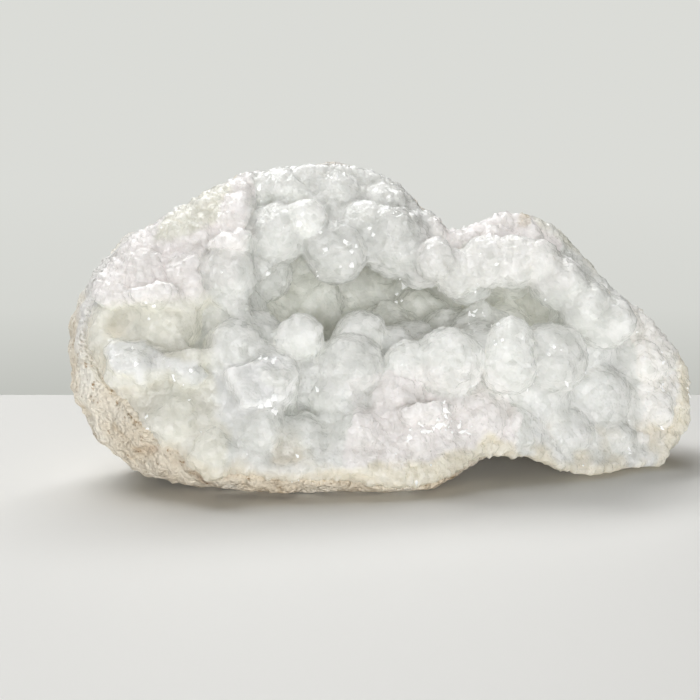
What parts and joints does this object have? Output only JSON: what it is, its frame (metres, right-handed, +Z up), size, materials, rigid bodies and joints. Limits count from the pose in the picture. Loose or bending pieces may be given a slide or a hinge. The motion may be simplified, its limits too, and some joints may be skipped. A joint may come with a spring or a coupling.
{
  "type": "geode",
  "caption": "Half of a rock nodule broken open: a thin, lumpy stone rind round a crust of white quartz that lines a deep hollow with balls of crystal.",
  "frame": {"origin": "on the resting surface, under the middle of the geode's box", "axes": "+X along the length, to the right as the open side is seen; +Y away from the open side; +Z up"},
  "size_m": [0.1856, 0.0974, 0.0907],
  "materials": {
    "rind": "chalky, rough, stained brown",
    "quartz": "milky, translucent, sugary where it is broken"
  },
  "bodies": {
    "root": {"rind": "rind", "crystal_crust": "quartz"}
  },
  "joints": []
}
